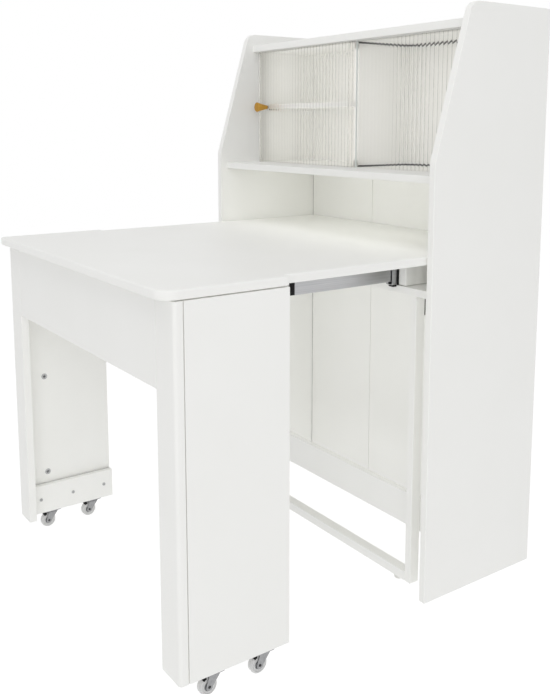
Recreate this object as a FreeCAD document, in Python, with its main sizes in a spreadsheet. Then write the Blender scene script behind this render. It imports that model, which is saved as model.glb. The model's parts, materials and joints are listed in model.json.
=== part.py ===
# Kitchen table that pulls out of a low storage cabinet with a glazed hutch.
# Millimetres, +Z up. The origin is on the floor, in the middle of the closed table and cabinet.
# The table's front edge lies at -Y, the cabinet's back at +Y.
import FreeCAD, Part
import math
import os
import types

import Sketcher

doc = FreeCAD.newDocument("TableCabinet")
sheet = doc.addObject("Spreadsheet::Sheet", "Sizes")

SIZES = (
    ("width", "834", "over the side panels and over the legs"),
    ("depth", "950", "from the tabletop's front edge to the cabinet's back, table pushed in"),
    ("panel_height", "1264", "side panel, floor to top"),
    ("panel_depth", "338", "side panel at the floor"),
    ("panel_top_depth", "244", "side panel at its top, before the corner is rounded"),
    ("knee_height", "940", "where the panel's front edge starts to slope back"),
    ("knee_radius", "60", "rounding of that knee"),
    ("panel_corner", "30", "rounding of the panel's upper front corner"),
    ("panel_thick", "16", "side panel board"),
    ("back_thick", "12", "back boards"),
    ("back_recess", "5", "back boards set in from the panels' rear edge"),
    ("back_foot", "15", "gap between floor and back boards"),
    ("seam_gap", "1", "gap between neighbouring back boards"),
    ("roof_thick", "18", "top board of the hutch"),
    ("roof_drop", "30", "top board below the panels' top"),
    ("roof_setback", "15", "top board's front edge behind the panel's upper corner"),
    ("shelf_thick", "16", "hutch shelf and inner board"),
    ("shelf_setback", "21", "hutch shelf behind the panel's front edge"),
    ("bay_height", "147", "open bay between tabletop and hutch shelf"),
    ("divider_thick", "12", "centre divider and small shelf"),
    ("divider_clear", "5", "divider behind the rear door"),
    ("small_shelf_drop", "3", "small shelf's lower face under the middle of the hutch"),
    ("small_shelf_setback", "9", "small shelf behind the divider's front edge"),
    ("pin_radius", "2.5", "shelf pin"),
    ("pin_reach", "8", "shelf pin outside its hole, and inside it"),
    ("pin_front", "10", "front shelf pins behind the small shelf's front edge"),
    ("pin_rear", "30", "rear shelf pins before the back boards"),
    ("door_thick", "5", "glass doors"),
    ("door_setback", "19", "front door behind the top board's front edge"),
    ("door_gap", "7", "between the front and the rear door"),
    ("door_overlap", "40", "how far the closed doors overlap"),
    ("door_side_clear", "1", "between a closed door and the side panel"),
    ("groove_clear", "0.5", "door groove play on each side"),
    ("groove_low_depth", "5", "door groove in the hutch shelf"),
    ("groove_high_depth", "9", "door groove in the top board"),
    ("lift_clear", "4", "room above a door for lifting it out"),
    ("flute_pitch", "13", "spacing of the flutes in the glass"),
    ("flute_depth", "1.35", "depth of a flute"),
    ("flute_radius", "14", "radius of a flute's hollow"),
    ("knob_length", "38", "door knob, from the glass to its front"),
    ("knob_base_radius", "5.5", "knob at the glass"),
    ("knob_front_radius", "13", "knob at its front"),
    ("knob_arris", "1.5", "rounding of the knob's front edge"),
    ("knob_inset", "36", "knob's axis from the door's outer edge"),
    ("screw_radius", "2", "shank of the knob screw"),
    ("screw_bite", "12", "knob screw inside the knob"),
    ("screw_head_radius", "4", "head of the knob screw"),
    ("screw_head_height", "1.8", "head of the knob screw"),
    ("glass_hole_clear", "0.5", "play of the knob screw in the glass"),
    ("running_clear", "0.05", "play of pins, axles and threads"),
    ("inner_board_setback", "12", "inner board behind the panel's front edge"),
    ("slide_space", "56", "between inner board and tabletop"),
    ("stretcher_low", "127", "lower edge of the lower rail"),
    ("stretcher_height", "75", "lower rail"),
    ("stretcher_thick", "16", "lower rail"),
    ("frame_setback", "20", "support frame behind the panel's front edge"),
    ("frame_inset", "48", "post's outer face from the side panel"),
    ("post_width", "18", "support post, across"),
    ("post_depth", "25", "support post and foot bar, front to back"),
    ("bar_height", "22", "foot bar"),
    ("glide_height", "10", "glide under the foot bar"),
    ("glide_radius", "11", "glide at its top"),
    ("glide_taper", "2", "how much narrower the glide is at the floor"),
    ("glide_inset", "32", "glide's axis from the post"),
    ("bracket_length", "45", "each leaf of an angle bracket"),
    ("bracket_thick", "2.5", "steel of an angle bracket"),
    ("cleat_width", "25", "cleat beside a slide"),
    ("cleat_inset", "75.5", "cleat's outer face from the side panel"),
    ("cleat_setback", "3", "cleat behind the inner board's front edge"),
    ("cleat_rear_clear", "6", "cleat before the back boards"),
    ("cleat_clear", "2", "between cleat and tabletop"),
    ("slide_height", "45", "outer slide channel"),
    ("slide_width", "20", "outer slide channel"),
    ("slide_lift", "0.5", "outer channel above the inner board"),
    ("slide_sheet", "1.5", "steel of the slide members"),
    ("race_height", "4.9", "raceway bead along a flange"),
    ("race_width", "5.5", "raceway bead along a flange"),
    ("slide_play", "0.35", "between a raceway and the member that runs on it"),
    ("web_gap", "2", "between the webs of nested members"),
    ("mouth_step", "1.5", "middle member's open side behind the channel's"),
    ("mouth_clear", "1", "between the channel's open side and the inner member's web"),
    ("middle_reach", "272", "middle member in front of the channel, table pushed in"),
    ("inner_recess", "20", "inner member's front end behind the middle member's"),
    ("table_height", "750", "floor to the top of the tabletop"),
    ("top_thick", "18", "tabletop"),
    ("top_corner", "33", "tabletop's front corners, in plan"),
    ("top_arris", "4", "rounding of the tabletop's edges"),
    ("top_side_clear", "3", "tabletop's rear part beside the side panels"),
    ("top_back_clear", "1", "tabletop before the back boards"),
    ("front_overhang", "22", "tabletop in front of apron and legs"),
    ("apron_height", "165", "apron below the tabletop"),
    ("stile_width", "67", "leg's front board"),
    ("stile_thick", "18", "leg's front board and apron"),
    ("stile_arris", "7", "rounding of the leg's outer front edge"),
    ("leg_depth", "217", "leg's side board, behind the front board"),
    ("leg_thick", "16", "leg's side board"),
    ("leg_low", "44", "lower end of the legs above the floor"),
    ("caster_rail_height", "72", "rail inside the foot of a leg"),
    ("caster_rail_thick", "16", "rail inside the foot of a leg"),
    ("rail_screw_radius", "2", "shank of a rail screw"),
    ("rail_screw_head_radius", "4", "head of a rail screw"),
    ("rail_screw_head_height", "2", "head of a rail screw"),
    ("rail_screw_bite", "9", "rail screw inside the leg"),
    ("rail_screw_edge", "24", "outer rail screws from the rail's ends"),
    ("lock_radius", "7.5", "cam lock in a leg's side board"),
    ("lock_depth", "11.5", "cam lock inside the board"),
    ("lock_proud", "0.5", "cam lock's face before the board"),
    ("lock_setback", "50", "cam locks behind the leg's front board"),
    ("lock_low", "144", "lower cam lock above the floor"),
    ("lock_high", "393", "upper cam lock above the floor"),
    ("batten_width", "20", "batten that carries an inner slide member"),
    ("batten_height", "43", "batten below the tabletop"),
    ("batten_front_clear", "30", "batten behind the apron"),
    ("caster_front", "57", "front swivel axis behind the leg's front board"),
    ("caster_rear", "51", "rear swivel axis before the leg's rear edge"),
    ("wheel_radius", "18", "caster wheel"),
    ("wheel_width", "14", "caster wheel"),
    ("wheel_arris", "3", "rounding of the tyre"),
    ("rim_radius", "12.5", "tyre's inner edge"),
    ("hub_radius", "5", "wheel hub"),
    ("wheel_dish", "2.5", "depth of the hollow between hub and tyre"),
    ("wheel_side_clear", "1", "between wheel and fork"),
    ("caster_trail", "12", "wheel's axle before the swivel axis"),
    ("axle_radius", "2.5", "caster axle"),
    ("axle_end", "1.5", "axle outside the fork"),
    ("fork_sheet", "2", "steel of the fork"),
    ("fork_boss", "7", "fork around the axle"),
    ("fork_round", "6", "rounding of the fork's lower end"),
    ("crown_radius", "12", "fork's crown, half its length"),
    ("crown_clear", "2", "between wheel and crown"),
    ("plate_thick", "2", "caster plate"),
    ("plate_width", "30", "caster plate, across"),
    ("plate_length", "40", "caster plate, front to back"),
    ("collar_radius", "8", "collar between plate and crown"),
    ("kingpin_radius", "3", "kingpin"),
    ("kingpin_head_radius", "4.5", "head of the kingpin"),
    ("kingpin_head_height", "1.4", "head of the kingpin"),
    ("kingpin_play", "0.2", "between the kingpin's head and the crown"),
)

for row, (alias, number, meaning) in enumerate(SIZES, start=1):
    sheet.set(f"A{row}", meaning)
    sheet.set(f"B{row}", number)
    sheet.setAlias(f"B{row}", alias)
doc.recompute()


class Size:
    """A length worked out from the sheet: its expression beside its present value."""

    def __init__(self, text, value):
        self.text = text
        self.value = value

    def __add__(self, other):
        other = as_size(other)
        return Size(f"({self.text} + {other.text})", self.value + other.value)

    def __sub__(self, other):
        other = as_size(other)
        return Size(f"({self.text} - {other.text})", self.value - other.value)

    def __mul__(self, other):
        other = as_size(other)
        return Size(f"({self.text} * {other.text})", self.value * other.value)

    def __truediv__(self, other):
        other = as_size(other)
        return Size(f"({self.text} / {other.text})", self.value / other.value)

    def __neg__(self):
        return Size(f"(0 - {self.text})", -self.value)


def as_size(number):
    return number if isinstance(number, Size) else Size(str(number), float(number))


ZERO = as_size(0)
s = types.SimpleNamespace(**{
    alias: Size(f"Sizes.{alias}", float(sheet.get(alias))) for alias, number, meaning in SIZES
})
SIDES = {"left": -1, "right": 1}
nodes = []


# Binding and placing


def bind(target, **properties):
    for name, size in properties.items():
        target.setExpression(name.replace("__", "."), as_size(size).text)


def place(target, x, y, z, rotation=None):
    if rotation:
        target.Placement = FreeCAD.Placement(FreeCAD.Vector(), rotation)
    bind(target, Placement__Base__x=x, Placement__Base__y=y, Placement__Base__z=z)


def keep(target, label):
    """Enter a finished sub-part under the name of its node."""
    target.Label = label
    nodes.append(target)
    return target


def outward(side, near, far):
    """Span along X between two distances from the middle plane, on one side of it."""
    return (near, far) if side > 0 else (-far, -near)


def turn(axis, angle):
    return FreeCAD.Rotation(FreeCAD.Vector(*axis), angle)


# Part primitives


def box(name, x, y, z):
    """Block between the given low and high ends along each axis."""
    block = doc.addObject("Part::Box", name)
    bind(block, Length=x[1] - x[0], Width=y[1] - y[0], Height=z[1] - z[0])
    place(block, x[0], y[0], z[0])
    return block


def rod(name, radius, height, x, y, z, rotation=None):
    """Cylinder that starts at the given point and runs along the turned Z axis."""
    cylinder = doc.addObject("Part::Cylinder", name)
    bind(cylinder, Radius=radius, Height=height)
    place(cylinder, x, y, z, rotation)
    return cylinder


def fuse(name, pieces):
    joined = doc.addObject("Part::MultiFuse", name)
    joined.Shapes = pieces
    return joined


def cut(name, base, tools):
    drilled = doc.addObject("Part::Cut", name)
    drilled.Base = base
    drilled.Tool = tools
    return drilled


def group(name, pieces):
    """Identical pieces that share a node and stay separate solids."""
    together = doc.addObject("Part::Compound", name)
    together.Links = pieces
    return together


# Bodies with sketches


def new_body(name):
    return doc.addObject("PartDesign::Body", name)


def sketch_on(body, role, name):
    plane = next(feature for feature in body.Origin.OriginFeatures if feature.Role == role)
    sketch = body.newObject("Sketcher::SketchObject", name)
    sketch.AttachmentSupport = (plane, [""])
    sketch.MapMode = "FlatFace"
    return sketch


def hold(sketch, curve, point, x, y):
    """Tie one sketch point to its distances from the sketch's origin."""
    for kind, size, axis in (("DistanceX", x, -2), ("DistanceY", y, -1)):
        if size is ZERO:
            sketch.addConstraint(Sketcher.Constraint("PointOnObject", curve, point, axis))
        else:
            index = sketch.addConstraint(
                Sketcher.Constraint(kind, -1, 1, curve, point, size.value))
            sketch.setExpression(f"Constraints[{index}]", size.text)


def outline(sketch, corners):
    """Closed outline of straight lines through the corners."""
    points = [FreeCAD.Vector(x.value, y.value, 0) for x, y in corners]
    count = len(points)
    for index in range(count):
        sketch.addGeometry(Part.LineSegment(points[index], points[(index + 1) % count]), False)
    for index in range(count):
        following = (index + 1) % count
        sketch.addConstraint(Sketcher.Constraint("Coincident", index, 2, following, 1))
    for index, (x, y) in enumerate(corners):
        hold(sketch, index, 1, x, y)


def circle(sketch, x, y, radius):
    middle = FreeCAD.Vector(x.value, y.value, 0)
    curve = sketch.addGeometry(Part.Circle(middle, FreeCAD.Vector(0, 0, 1), radius.value), False)
    hold(sketch, curve, 3, x, y)
    index = sketch.addConstraint(Sketcher.Constraint("Radius", curve, radius.value))
    sketch.setExpression(f"Constraints[{index}]", radius.text)


def pad(body, sketch, length, name):
    feature = body.newObject("PartDesign::Pad", name)
    feature.Profile = sketch
    bind(feature, Length=length)
    doc.recompute()
    return feature


def pocket(body, sketch, name, backward=False):
    """Cut right through; the volume shows that the cut met the solid."""
    before = body.Shape.Volume
    feature = body.newObject("PartDesign::Pocket", name)
    feature.Profile = sketch
    feature.Type = "ThroughAll"
    feature.Reversed = backward
    doc.recompute()
    if not body.Shape.Volume < before:
        raise RuntimeError(f"{body.Name}: {name} cuts nothing")
    return feature


def revolve(body, sketch, axis, name):
    feature = body.newObject("PartDesign::Revolution", name)
    feature.Profile = sketch
    feature.ReferenceAxis = (sketch, [axis])
    feature.Angle = 360
    doc.recompute()
    return feature


def round_edges(body, base, radius, name, chosen):
    """Fillet the edges of base whose bounding box the given test accepts."""
    edges = [f"Edge{index}" for index, edge in enumerate(base.Shape.Edges, start=1)
             if chosen(edge.BoundBox)]
    feature = body.newObject("PartDesign::Fillet", name)
    feature.Base = (base, edges)
    bind(feature, Radius=radius)
    doc.recompute()
    return feature


def near(value, size):
    return math.isclose(value, size.value, abs_tol=0.01)


# Shared planes of the cabinet

half_width = s.width / 2
inner_x = half_width - s.panel_thick
rear_y = s.depth / 2
front_y = -rear_y
panel_front_y = rear_y - s.panel_depth
back_face_y = rear_y - s.back_recess - s.back_thick
across = (-inner_x, inner_x)

table_under_z = s.table_height - s.top_thick
inner_board_z = table_under_z - s.slide_space
shelf_low_z = s.table_height + s.bay_height
shelf_z = shelf_low_z + s.shelf_thick
roof_top_z = s.panel_height - s.roof_drop
ceiling_z = roof_top_z - s.roof_thick

shelf_front_y = panel_front_y + s.shelf_setback
roof_front_y = rear_y - s.panel_top_depth + s.roof_setback
door_front_y = {"left": roof_front_y + s.door_setback}
door_front_y["right"] = door_front_y["left"] + s.door_thick + s.door_gap
divider_front_y = door_front_y["right"] + s.door_thick + s.divider_clear
half_divider = s.divider_thick / 2


# Cabinet boards


def side_panel(side, name):
    """Upright panel: straight to the knee, then sloping back to a shallower top."""
    body = new_body(name)
    sketch = sketch_on(body, "YZ_Plane", name + "_outline")
    top_front = s.panel_depth - s.panel_top_depth
    outline(sketch, [
        (ZERO, ZERO),
        (s.panel_depth, ZERO),
        (s.panel_depth, s.panel_height),
        (top_front, s.panel_height),
        (ZERO, s.knee_height),
    ])
    board = pad(body, sketch, s.panel_thick, name + "_board")
    knee = round_edges(
        body, board, s.knee_radius, name + "_knee",
        lambda b: b.XLength > b.ZLength and near(b.ZMin, s.knee_height) and near(b.YMax, ZERO))
    round_edges(
        body, knee, s.panel_corner, name + "_corner",
        lambda b: near(b.YMin, top_front) and near(b.YMax, top_front))
    place(body, outward(side, inner_x, half_width)[0], panel_front_y, ZERO)
    return body


def grooved_board(name, front, low, thick, groove_depth, grooves_up):
    """Board between the side panels with a sliding groove for each door."""
    body = new_body(name)
    sketch = sketch_on(body, "YZ_Plane", name + "_section")
    grooved = thick if grooves_up else ZERO
    plain = ZERO if grooves_up else thick
    floor = thick - groove_depth if grooves_up else groove_depth
    section = [(ZERO, plain), (back_face_y - front, plain), (back_face_y - front, grooved)]
    for door in ("right", "left"):
        start = door_front_y[door] - s.groove_clear - front
        end = start + s.door_thick + s.groove_clear * 2
        section += [(end, grooved), (end, floor), (start, floor), (start, grooved)]
    section.append((ZERO, grooved))
    outline(sketch, section)
    pad(body, sketch, inner_x * 2, name + "_board")
    place(body, -inner_x, front, low)
    keep(body, name)


small_shelf_z = (shelf_z + ceiling_z) / 2 - s.small_shelf_drop
small_shelf_front_y = divider_front_y + s.small_shelf_setback
PIN_ROWS = {"front": small_shelf_front_y + s.pin_front, "rear": back_face_y - s.pin_rear}


def shelf_pin_row(wall_x, side, word):
    """Pins under one end of the small shelf, half their length in the wall, and the drill for them."""
    pins = []
    holes = []
    start_x = wall_x + s.pin_reach * side
    into_wall = turn((0, 1, 0), -90 * side)
    for row_name, y in PIN_ROWS.items():
        end = f"{word}_{row_name}"
        height = small_shelf_z - s.pin_radius
        pins.append(rod(f"pin_{end}", s.pin_radius, s.pin_reach * 2, start_x, y, height, into_wall))
        holes.append(rod(f"pin_hole_{end}", s.pin_radius + s.running_clear, s.pin_reach * 2,
                         start_x, y, height, into_wall))
    return pins, fuse(f"pin_holes_{word}", holes)


panel_pins, panel_drill = shelf_pin_row(-inner_x, 1, "panel")
divider_pins, divider_drill = shelf_pin_row(-half_divider, -1, "divider")
keep(group("pin_set", panel_pins + divider_pins), "shelf_pins")

keep(cut("side_panel_left_drilled", side_panel(-1, "panel_left"), panel_drill), "side_panel_left")
keep(side_panel(1, "panel_right"), "side_panel_right")

grooved_board("top_board", roof_front_y, ceiling_z, s.roof_thick, s.groove_high_depth, False)
grooved_board("hutch_shelf", shelf_front_y, shelf_low_z, s.shelf_thick, s.groove_low_depth, True)

back_width = (inner_x * 2 - s.seam_gap * 2) / 3
for index, word in enumerate(("left", "centre", "right")):
    start = (back_width + s.seam_gap) * index - inner_x
    keep(box(f"back_board_{word}_blank", (start, start + back_width),
             (back_face_y, back_face_y + s.back_thick), (s.back_foot, roof_top_z)),
         f"back_board_{word}")

divider_blank = box("divider_blank", (-half_divider, half_divider),
                    (divider_front_y, back_face_y), (shelf_z, ceiling_z))
keep(cut("divider_drilled", divider_blank, divider_drill), "divider")

keep(box("small_shelf_blank", (-inner_x, -half_divider), (small_shelf_front_y, back_face_y),
         (small_shelf_z, small_shelf_z + s.divider_thick)), "small_shelf")

inner_board_front_y = panel_front_y + s.inner_board_setback
keep(box("inner_board_blank", across, (inner_board_front_y, back_face_y),
         (inner_board_z - s.shelf_thick, inner_board_z)), "inner_board")


# Support frame under the inner board, and the rail behind it

frame_front_y = panel_front_y + s.frame_setback
frame_rear_y = frame_front_y + s.post_depth
post_outer_x = inner_x - s.frame_inset
post_inner_x = post_outer_x - s.post_width
frame_top_z = inner_board_z - s.shelf_thick

keep(box("lower_rail_blank", across, (frame_rear_y, frame_rear_y + s.stretcher_thick),
         (s.stretcher_low, s.stretcher_low + s.stretcher_height)), "lower_rail")
keep(box("frame_bar_blank", (-post_inner_x, post_inner_x), (frame_front_y, frame_rear_y),
         (s.glide_height, s.glide_height + s.bar_height)), "frame_bar")

brackets = []
glides = []
for word, side in SIDES.items():
    post_x = outward(side, post_inner_x, post_outer_x)
    keep(box(f"frame_post_{word}_blank", post_x, (frame_front_y, frame_rear_y),
             (s.glide_height, frame_top_z)), f"frame_post_{word}")
    upright = box(f"bracket_upright_{word}", post_x, (frame_rear_y, frame_rear_y + s.bracket_thick),
                  (frame_top_z - s.bracket_length, frame_top_z))
    level = box(f"bracket_level_{word}", post_x, (frame_rear_y, frame_rear_y + s.bracket_length),
                (frame_top_z - s.bracket_thick, frame_top_z))
    brackets.append(fuse(f"bracket_{word}", [upright, level]))
    glide = doc.addObject("Part::Cone", f"glide_{word}")
    bind(glide, Radius1=s.glide_radius - s.glide_taper, Radius2=s.glide_radius, Height=s.glide_height)
    glide_x = (post_inner_x - s.glide_inset) * side
    place(glide, glide_x, (frame_front_y + frame_rear_y) / 2, ZERO)
    glides.append(glide)
keep(group("bracket_pair", brackets), "frame_brackets")
keep(group("glide_pair", glides), "frame_glides")


# Cleats and telescopic slides

cleat_outer_x = inner_x - s.cleat_inset
cleat_inner_x = cleat_outer_x - s.cleat_width
slide_front_y = inner_board_front_y + s.cleat_setback
slide_rear_y = back_face_y - s.cleat_rear_clear
channel_low_z = inner_board_z + s.slide_lift
member_step = s.slide_sheet + s.race_height + s.slide_play
middle_height = s.slide_height - member_step * 2
inner_height = middle_height - member_step * 2
middle_front_y = slide_front_y - s.middle_reach
inner_front_y = middle_front_y + s.inner_recess

channel_mouth_x = cleat_inner_x - s.slide_width
middle_outer_x = cleat_inner_x - s.slide_sheet - s.web_gap
middle_mouth_x = channel_mouth_x + s.mouth_step
inner_tip_x = middle_outer_x - s.slide_sheet - s.web_gap
inner_web_x = channel_mouth_x - s.mouth_clear - s.slide_sheet


def slide_member(name, side, x_near, x_far, low, height, front, rear, with_race):
    """Rolled steel C along Y; the raceway beads stand on the flanges at the open side."""
    wide = x_far - x_near
    sheet_thick = s.slide_sheet
    bead = s.race_width if with_race else None
    section = [(ZERO, ZERO), (wide, ZERO), (wide, height), (ZERO, height)]
    if with_race:
        reach = sheet_thick + s.race_height
        section += [(ZERO, height - reach), (bead, height - reach), (bead, height - sheet_thick)]
    else:
        section.append((ZERO, height - sheet_thick))
    section += [(wide - sheet_thick, height - sheet_thick), (wide - sheet_thick, sheet_thick)]
    if with_race:
        section += [(bead, sheet_thick), (bead, reach), (ZERO, reach)]
    else:
        section.append((ZERO, sheet_thick))
    web_far = side > 0 if with_race else side < 0
    if not web_far:
        section = [(ZERO if x is wide else wide if x is ZERO else wide - x, z) for x, z in section]
    body = new_body(name)
    sketch = sketch_on(body, "XZ_Plane", name + "_section")
    outline(sketch, section)
    pad(body, sketch, rear - front, name + "_strip")
    place(body, outward(side, x_near, x_far)[0], rear, low)
    keep(body, name)


for word, side in SIDES.items():
    keep(box(f"cleat_{word}_blank", outward(side, cleat_inner_x, cleat_outer_x),
             (slide_front_y, slide_rear_y), (inner_board_z, table_under_z - s.cleat_clear)),
         f"cleat_{word}")
    slide_member(f"slide_channel_{word}", side, channel_mouth_x, cleat_inner_x,
                 channel_low_z, s.slide_height, slide_front_y, slide_rear_y, True)
    slide_member(f"slide_middle_{word}", side, middle_mouth_x, middle_outer_x,
                 channel_low_z + member_step, middle_height, middle_front_y, slide_rear_y, True)
    slide_member(f"slide_inner_{word}", side, inner_web_x, inner_tip_x,
                 channel_low_z + member_step * 2, inner_height, inner_front_y, slide_rear_y, False)


# Glass doors with their knobs

door_width = inner_x + s.door_overlap / 2 - s.door_side_clear
door_low_z = shelf_z - s.groove_low_depth
door_height = ceiling_z + s.groove_high_depth - s.lift_clear - door_low_z
knob_z = (shelf_z + ceiling_z) / 2
glass_hole_radius = s.screw_radius + s.glass_hole_clear


def glass_door(name, x_low, y_front, knob_at):
    """Plate with upright hollow flutes on its front face and a hole for the knob screw."""
    body = new_body(name)
    plate = sketch_on(body, "XY_Plane", name + "_plate")
    outline(plate, [(ZERO, ZERO), (door_width, ZERO), (door_width, s.door_thick), (ZERO, s.door_thick)])
    pad(body, plate, door_height, name + "_glass")
    count = math.floor(door_width.value / s.flute_pitch.value)
    first = (door_width - s.flute_pitch * (count - 1)) / 2
    hollow = sketch_on(body, "XY_Plane", name + "_flute")
    circle(hollow, first, s.flute_depth - s.flute_radius, s.flute_radius)
    flute = pocket(body, hollow, name + "_first_flute", backward=True)
    row = body.newObject("PartDesign::LinearPattern", name + "_flutes")
    row.Originals = [flute]
    row.Direction = (hollow, ["H_Axis"])
    bind(row, Length=s.flute_pitch * (count - 1))
    row.Occurrences = count
    body.Tip = row
    doc.recompute()
    hole = sketch_on(body, "XZ_Plane", name + "_hole")
    circle(hole, knob_at - x_low, knob_z - door_low_z, glass_hole_radius)
    pocket(body, hole, name + "_knob_hole")
    place(body, x_low, y_front, door_low_z)
    keep(body, name)


def door_knob(name, x, y):
    """Turned cone, narrow at the glass, with a blind thread for its screw."""
    body = new_body(name)
    sketch = sketch_on(body, "XY_Plane", name + "_section")
    thread = s.screw_radius + s.running_clear
    depth = s.screw_bite + s.screw_head_height
    outline(sketch, [
        (thread, ZERO),
        (s.knob_base_radius, ZERO),
        (s.knob_front_radius, s.knob_length),
        (ZERO, s.knob_length),
        (ZERO, depth),
        (thread, depth),
    ])
    cone = revolve(body, sketch, "V_Axis", name + "_cone")
    round_edges(body, cone, s.knob_arris, name + "_arris",
                lambda b: near(b.YMin, s.knob_length) and near(b.XMax, s.knob_front_radius))
    place(body, x, y, knob_z, turn((0, 0, 1), 180))
    keep(body, name)


def knob_screw(name, x, y_front):
    rear = y_front + s.door_thick
    forward = turn((1, 0, 0), 90)
    shank = rod(name + "_shank", s.screw_radius, s.door_thick + s.screw_bite, x, rear, knob_z, forward)
    head = rod(name + "_head", s.screw_head_radius, s.screw_head_height,
               x, rear + s.screw_head_height, knob_z, forward)
    keep(fuse(name + "_whole", [shank, head]), name)


door_outer_x = inner_x - s.door_side_clear
for word, side in SIDES.items():
    door_x = outward(side, door_outer_x - door_width, door_outer_x)[0]
    knob_x = (door_outer_x - s.knob_inset) * side
    glass_door(f"door_glass_{word}", door_x, door_front_y[word], knob_x)
    door_knob(f"door_knob_{word}", knob_x, door_front_y[word])
    knob_screw(f"door_knob_screw_{word}", knob_x, door_front_y[word])


# Table

stile_front_y = front_y + s.front_overhang
stile_rear_y = stile_front_y + s.stile_thick
leg_rear_y = stile_rear_y + s.leg_depth
leg_inner_x = half_width - s.leg_thick
stile_inner_x = half_width - s.stile_width
leg_z = (s.leg_low, table_under_z)


def tabletop():
    """One board: as wide as the legs in front, narrower behind so it passes the side panels."""
    name = "tabletop"
    body = new_body(name)
    sketch = sketch_on(body, "XY_Plane", name + "_outline")
    shoulder = leg_rear_y - front_y
    step = s.panel_thick + s.top_side_clear
    length = back_face_y - s.top_back_clear - front_y
    outline(sketch, [
        (ZERO, ZERO),
        (s.width, ZERO),
        (s.width, shoulder),
        (s.width - step, shoulder),
        (s.width - step, length),
        (step, length),
        (step, shoulder),
        (ZERO, shoulder),
    ])
    board = pad(body, sketch, s.top_thick, name + "_board")
    corners = round_edges(
        body, board, s.top_corner, name + "_corners",
        lambda b: near(b.ZLength, s.top_thick) and near(b.YMax, ZERO))
    round_edges(
        body, corners, s.top_arris, name + "_arris",
        lambda b: b.ZLength < 0.01 and b.YMax < shoulder.value + 0.01 and b.YMin < shoulder.value - 0.01)
    place(body, -half_width, front_y, table_under_z)
    keep(body, name)


def leg_stile(name, side):
    """Front board of a leg, its outer front edge rounded."""
    body = new_body(name)
    sketch = sketch_on(body, "XY_Plane", name + "_section")
    outline(sketch, [(ZERO, ZERO), (s.stile_width, ZERO),
                     (s.stile_width, s.stile_thick), (ZERO, s.stile_thick)])
    board = pad(body, sketch, table_under_z - s.leg_low, name + "_board")
    outer = s.stile_width if side > 0 else ZERO
    round_edges(body, board, s.stile_arris, name + "_arris",
                lambda b: near(b.YMax, ZERO) and near(b.XMin, outer) and near(b.XMax, outer))
    place(body, outward(side, stile_inner_x, half_width)[0], stile_front_y, s.leg_low)
    keep(body, name)


tabletop()
keep(box("apron_blank", (-stile_inner_x, stile_inner_x), (stile_front_y, stile_rear_y),
         (table_under_z - s.apron_height, table_under_z)), "apron")

rail_z = (s.leg_low, s.leg_low + s.caster_rail_height)
rail_inner_x = leg_inner_x - s.caster_rail_thick
screw_z = (rail_z[0] + rail_z[1]) / 2
screw_rows = (stile_rear_y + s.rail_screw_edge, (stile_rear_y + leg_rear_y) / 2,
              leg_rear_y - s.rail_screw_edge)
screw_reach = s.caster_rail_thick + s.rail_screw_bite
locks = []
rail_screws = []
for word, side in SIDES.items():
    leg_stile(f"leg_stile_{word}", side)
    outer_way = turn((0, 1, 0), 90 * side)
    leg = box(f"leg_panel_{word}_blank", outward(side, leg_inner_x, half_width),
              (stile_rear_y, leg_rear_y), leg_z)
    rail = box(f"caster_rail_{word}_blank", outward(side, rail_inner_x, leg_inner_x),
               (stile_rear_y, leg_rear_y), rail_z)
    holes = []
    for number, y in enumerate(screw_rows):
        end = f"{word}_{number}"
        start_x = rail_inner_x * side
        holes.append(rod(f"rail_hole_{end}", s.rail_screw_radius + s.running_clear,
                         screw_reach, start_x, y, screw_z, outer_way))
        shank = rod(f"rail_shank_{end}", s.rail_screw_radius, screw_reach, start_x, y, screw_z, outer_way)
        head = rod(f"rail_head_{end}", s.rail_screw_head_radius, s.rail_screw_head_height,
                   (rail_inner_x - s.rail_screw_head_height) * side, y, screw_z, outer_way)
        rail_screws.append(fuse(f"rail_screw_{end}", [shank, head]))
    drill = fuse(f"rail_holes_{word}", holes)
    keep(cut(f"caster_rail_{word}_drilled", rail, drill), f"caster_rail_{word}")
    lock_holes = []
    for number, lock_z in enumerate((s.lock_low, s.lock_high)):
        end = f"{word}_{number}"
        at = ((leg_inner_x - s.lock_proud) * side, stile_rear_y + s.lock_setback, lock_z, outer_way)
        reach = s.lock_proud + s.lock_depth
        locks.append(rod(f"lock_{end}", s.lock_radius, reach, *at))
        lock_holes.append(rod(f"lock_hole_{end}", s.lock_radius + s.running_clear, reach, *at))
    leg_drill = fuse(f"leg_holes_{word}", [drill] + lock_holes)
    keep(cut(f"leg_panel_{word}_drilled", leg, leg_drill), f"leg_panel_{word}")
    keep(box(f"batten_{word}_blank", outward(side, inner_web_x - s.batten_width, inner_web_x),
             (stile_rear_y + s.batten_front_clear, slide_rear_y),
             (table_under_z - s.batten_height, table_under_z)), f"batten_{word}")
keep(group("lock_set", locks), "leg_cam_locks")
keep(group("rail_screw_set", rail_screws), "caster_rail_screws")


# Casters

crown_low_z = s.wheel_radius * 2 + s.crown_clear
crown_top_z = crown_low_z + s.fork_sheet
plate_low_z = s.leg_low - s.plate_thick
fork_inner = s.wheel_width + s.wheel_side_clear * 2
fork_outer = fork_inner + s.fork_sheet * 2
fork_reach = s.caster_trail + s.fork_boss
axle_hole_radius = s.axle_radius + s.running_clear


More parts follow.
